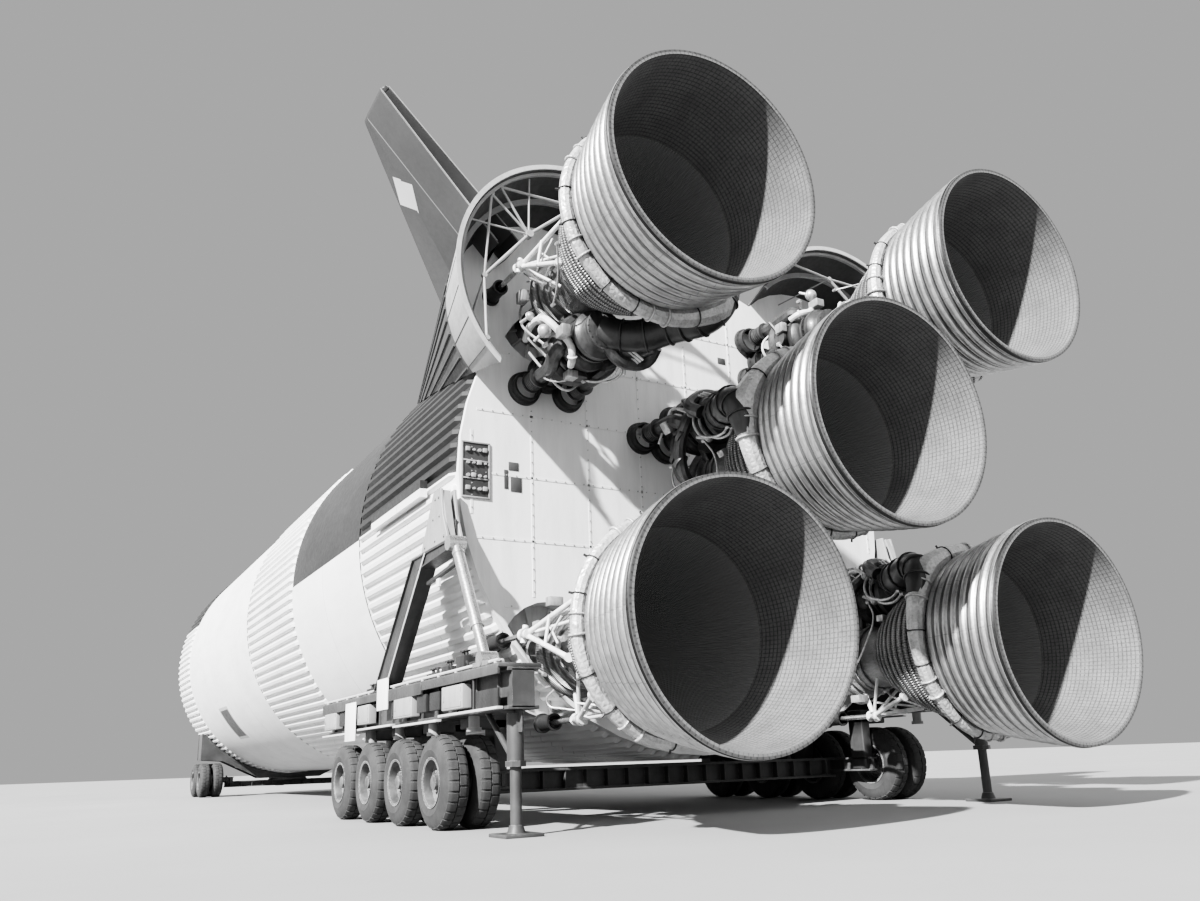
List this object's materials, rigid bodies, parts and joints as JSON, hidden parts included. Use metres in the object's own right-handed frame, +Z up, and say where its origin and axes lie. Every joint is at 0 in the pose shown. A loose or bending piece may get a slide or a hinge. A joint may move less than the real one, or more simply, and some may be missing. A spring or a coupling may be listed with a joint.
{
  "type": "rocket first stage on its wheeled transporter, scale model at 1:2",
  "caption": "Large rocket first stage with swivelling bell engines, upper fins and fairings, lying on its road transporter; half-size model.",
  "frame": {"origin": "ground under the middle of the stage's length", "axes": "+X forward along the stage, +Y to port, +Z up"},
  "size_m": [21.037, 6.8518, 6.4559],
  "materials": {
    "black_white_paint": "white body paint with black quadrants, weathered",
    "white_paint": "white body paint, weathered",
    "black_paint": "black body paint, chalked, with bare panel lines",
    "shield_coat": "white heat shield coat over panels",
    "engine_metal": "bare heat-resisting metal, dulled",
    "pump_metal": "bare castings and lagged ducts",
    "gimbal_steel": "dark machined steel",
    "frame_paint": "dark grey frame paint, dusty",
    "support_paint": "dark frame paint with light grey heads",
    "tyre_rubber": "weathered rubber on painted rims"
  },
  "bodies": {
    "stage": {"thrust_structure": "black_white_paint", "base_heat_shield": "shield_coat", "fuel_tank": "black_white_paint", "intertank": "white_paint", "lox_tank": "white_paint", "forward_skirt": "black_white_paint", "umbilical_tunnel": "white_paint", "aft_cross_beam_1": "frame_paint", "aft_cross_beam_2": "frame_paint", "forward_cradle": "frame_paint", "thrust_chamber_centre": "engine_metal", "nozzle_extension_centre": "engine_metal", "turbopump_centre": "pump_metal", "engine_fairing_port": "black_paint", "fin_port": "black_paint", "aft_side_frame_port": "frame_paint", "aft_support_port": "support_paint", "engine_fairing_starboard": "black_paint", "fin_starboard": "black_paint", "aft_side_frame_starboard": "frame_paint", "aft_support_starboard": "support_paint"},
    "gimbal_top_port": {"gimbal_cross_top_port": "gimbal_steel"},
    "engine_top_port": {"thrust_chamber_top_port": "engine_metal", "nozzle_extension_top_port": "engine_metal", "turbopump_top_port": "pump_metal"},
    "gimbal_top_starboard": {"gimbal_cross_top_starboard": "gimbal_steel"},
    "engine_top_starboard": {"thrust_chamber_top_starboard": "engine_metal", "nozzle_extension_top_starboard": "engine_metal", "turbopump_top_starboard": "pump_metal"},
    "gimbal_bottom_port": {"gimbal_cross_bottom_port": "gimbal_steel"},
    "engine_bottom_port": {"thrust_chamber_bottom_port": "engine_metal", "nozzle_extension_bottom_port": "engine_metal", "turbopump_bottom_port": "pump_metal"},
    "gimbal_bottom_starboard": {"gimbal_cross_bottom_starboard": "gimbal_steel"},
    "engine_bottom_starboard": {"thrust_chamber_bottom_starboard": "engine_metal", "nozzle_extension_bottom_starboard": "engine_metal", "turbopump_bottom_starboard": "pump_metal"},
    "forward_bogie": {"forward_bogie": "frame_paint"},
    "aft_wheels_port_1": {"aft_wheels_port_1": "tyre_rubber"},
    "aft_wheels_port_2": {"aft_wheels_port_2": "tyre_rubber"},
    "aft_wheels_port_3": {"aft_wheels_port_3": "tyre_rubber"},
    "aft_wheels_port_4": {"aft_wheels_port_4": "tyre_rubber"},
    "forward_wheels_port_rear": {"forward_wheels_port_rear": "tyre_rubber"},
    "forward_wheels_port_front": {"forward_wheels_port_front": "tyre_rubber"},
    "aft_wheels_starboard_1": {"aft_wheels_starboard_1": "tyre_rubber"},
    "aft_wheels_starboard_2": {"aft_wheels_starboard_2": "tyre_rubber"},
    "aft_wheels_starboard_3": {"aft_wheels_starboard_3": "tyre_rubber"},
    "aft_wheels_starboard_4": {"aft_wheels_starboard_4": "tyre_rubber"},
    "forward_wheels_starboard_rear": {"forward_wheels_starboard_rear": "tyre_rubber"},
    "forward_wheels_starboard_front": {"forward_wheels_starboard_front": "tyre_rubber"}
  },
  "joints": [
    {"name": "pitch_top_port", "type": "hinge", "parent": "stage", "child": "gimbal_top_port", "pos_m": [-7.7815, 1.63448, 4.66448], "axis": [0, 1, 0], "range_deg": [-5, 5]},
    {"name": "yaw_top_port", "type": "hinge", "parent": "gimbal_top_port", "child": "engine_top_port", "pos_m": [-7.7815, 1.63448, 4.66448], "axis": [0, 0, 1], "range_deg": [-5, 5]},
    {"name": "pitch_top_starboard", "type": "hinge", "parent": "stage", "child": "gimbal_top_starboard", "pos_m": [-7.7815, -1.63448, 4.66448], "axis": [0, 1, 0], "range_deg": [-5, 5]},
    {"name": "yaw_top_starboard", "type": "hinge", "parent": "gimbal_top_starboard", "child": "engine_top_starboard", "pos_m": [-7.7815, -1.63448, 4.66448], "axis": [0, 0, 1], "range_deg": [-5, 5]},
    {"name": "pitch_bottom_port", "type": "hinge", "parent": "stage", "child": "gimbal_bottom_port", "pos_m": [-7.7815, 1.63448, 1.39552], "axis": [0, 1, 0], "range_deg": [-5, 5]},
    {"name": "yaw_bottom_port", "type": "hinge", "parent": "gimbal_bottom_port", "child": "engine_bottom_port", "pos_m": [-7.7815, 1.63448, 1.39552], "axis": [0, 0, 1], "range_deg": [-5, 5]},
    {"name": "pitch_bottom_starboard", "type": "hinge", "parent": "stage", "child": "gimbal_bottom_starboard", "pos_m": [-7.7815, -1.63448, 1.39552], "axis": [0, 1, 0], "range_deg": [-5, 5]},
    {"name": "yaw_bottom_starboard", "type": "hinge", "parent": "gimbal_bottom_starboard", "child": "engine_bottom_starboard", "pos_m": [-7.7815, -1.63448, 1.39552], "axis": [0, 0, 1], "range_deg": [-5, 5]},
    {"name": "bogie_steer", "type": "hinge", "parent": "stage", "child": "forward_bogie", "pos_m": [9.6185, 0, 0.355], "axis": [0, 0, 1], "range_deg": [-15, 15]},
    {"name": "roll_aft_wheels_port_1", "type": "hinge", "parent": "stage", "child": "aft_wheels_port_1", "pos_m": [-7.5565, 2.45, 0.375], "axis": [0, 1, 0], "continuous": true},
    {"name": "roll_aft_wheels_port_2", "type": "hinge", "parent": "stage", "child": "aft_wheels_port_2", "pos_m": [-6.648, 2.45, 0.375], "axis": [0, 1, 0], "continuous": true},
    {"name": "roll_aft_wheels_port_3", "type": "hinge", "parent": "stage", "child": "aft_wheels_port_3", "pos_m": [-5.7395, 2.45, 0.375], "axis": [0, 1, 0], "continuous": true},
    {"name": "roll_aft_wheels_port_4", "type": "hinge", "parent": "stage", "child": "aft_wheels_port_4", "pos_m": [-4.831, 2.45, 0.375], "axis": [0, 1, 0], "continuous": true},
    {"name": "roll_forward_wheels_port_rear", "type": "hinge", "parent": "forward_bogie", "child": "forward_wheels_port_rear", "pos_m": [9.1435, 1.85, 0.375], "axis": [0, 1, 0], "continuous": true},
    {"name": "roll_forward_wheels_port_front", "type": "hinge", "parent": "forward_bogie", "child": "forward_wheels_port_front", "pos_m": [10.0935, 1.85, 0.375], "axis": [0, 1, 0], "continuous": true},
    {"name": "roll_aft_wheels_starboard_1", "type": "hinge", "parent": "stage", "child": "aft_wheels_starboard_1", "pos_m": [-7.5565, -2.45, 0.375], "axis": [0, 1, 0], "continuous": true},
    {"name": "roll_aft_wheels_starboard_2", "type": "hinge", "parent": "stage", "child": "aft_wheels_starboard_2", "pos_m": [-6.648, -2.45, 0.375], "axis": [0, 1, 0], "continuous": true},
    {"name": "roll_aft_wheels_starboard_3", "type": "hinge", "parent": "stage", "child": "aft_wheels_starboard_3", "pos_m": [-5.7395, -2.45, 0.375], "axis": [0, 1, 0], "continuous": true},
    {"name": "roll_aft_wheels_starboard_4", "type": "hinge", "parent": "stage", "child": "aft_wheels_starboard_4", "pos_m": [-4.831, -2.45, 0.375], "axis": [0, 1, 0], "continuous": true},
    {"name": "roll_forward_wheels_starboard_rear", "type": "hinge", "parent": "forward_bogie", "child": "forward_wheels_starboard_rear", "pos_m": [9.1435, -1.85, 0.375], "axis": [0, 1, 0], "continuous": true},
    {"name": "roll_forward_wheels_starboard_front", "type": "hinge", "parent": "forward_bogie", "child": "forward_wheels_starboard_front", "pos_m": [10.0935, -1.85, 0.375], "axis": [0, 1, 0], "continuous": true}
  ]
}
